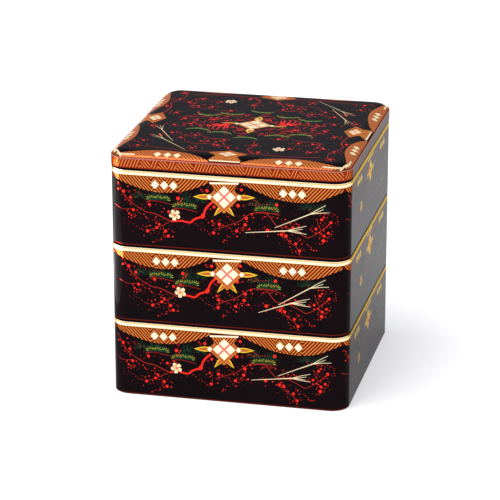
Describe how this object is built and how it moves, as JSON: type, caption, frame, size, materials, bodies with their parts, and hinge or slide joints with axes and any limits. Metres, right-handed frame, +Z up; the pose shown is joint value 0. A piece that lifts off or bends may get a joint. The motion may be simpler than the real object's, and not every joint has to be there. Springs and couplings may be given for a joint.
{
  "type": "tiered food box",
  "caption": "Square stacking food box: open tiers with lip joints under a domed lift-off lid, glossy black lacquer painted with swags, crests, plum, pine and straws.",
  "frame": {"origin": "centre of the box's plan, at the underside of the foot ring of the lowest tier", "axes": "+Z up through the stack, the decorated front faces -Y, +X to the right of the front"},
  "size_m": [0.1956, 0.1956, 0.206],
  "materials": {
    "tier_lacquer": "black gloss lacquer with a gilded rim and painted ornament outside, vermilion lacquer inside",
    "lid_lacquer": "black gloss lacquer with a bronze painted skirt and painted ornament outside, vermilion lacquer inside"
  },
  "bodies": {
    "root": {"lid": "lid_lacquer", "tier_top": "tier_lacquer", "tier_middle": "tier_lacquer", "tier_bottom": "tier_lacquer"}
  },
  "joints": []
}
